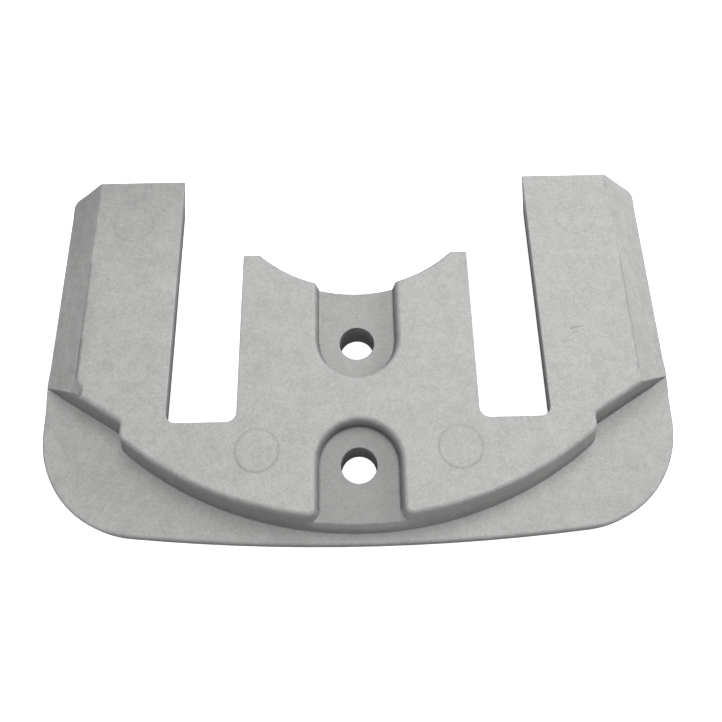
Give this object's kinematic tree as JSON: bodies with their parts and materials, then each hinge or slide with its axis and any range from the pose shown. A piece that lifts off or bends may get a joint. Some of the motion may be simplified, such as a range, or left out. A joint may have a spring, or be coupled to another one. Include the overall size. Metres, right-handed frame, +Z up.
{
  "type": "sacrificial anode",
  "caption": "Cast sacrificial anode plate: bevelled legs beside a scooped centre tongue, a sloping front lip below a curved step, and recessed bolt holes on the centre line.",
  "frame": {"origin": "midway between the bolt holes, on the flat underside", "axes": "+X to the right along the width, +Y from the lip towards the far ends of the legs, +Z up from the underside to the pad"},
  "size_m": [0.151, 0.0931, 0.0125],
  "materials": {
    "anode_alloy": "as-cast, matte"
  },
  "bodies": {
    "root": {"anode": "anode_alloy"}
  },
  "joints": []
}
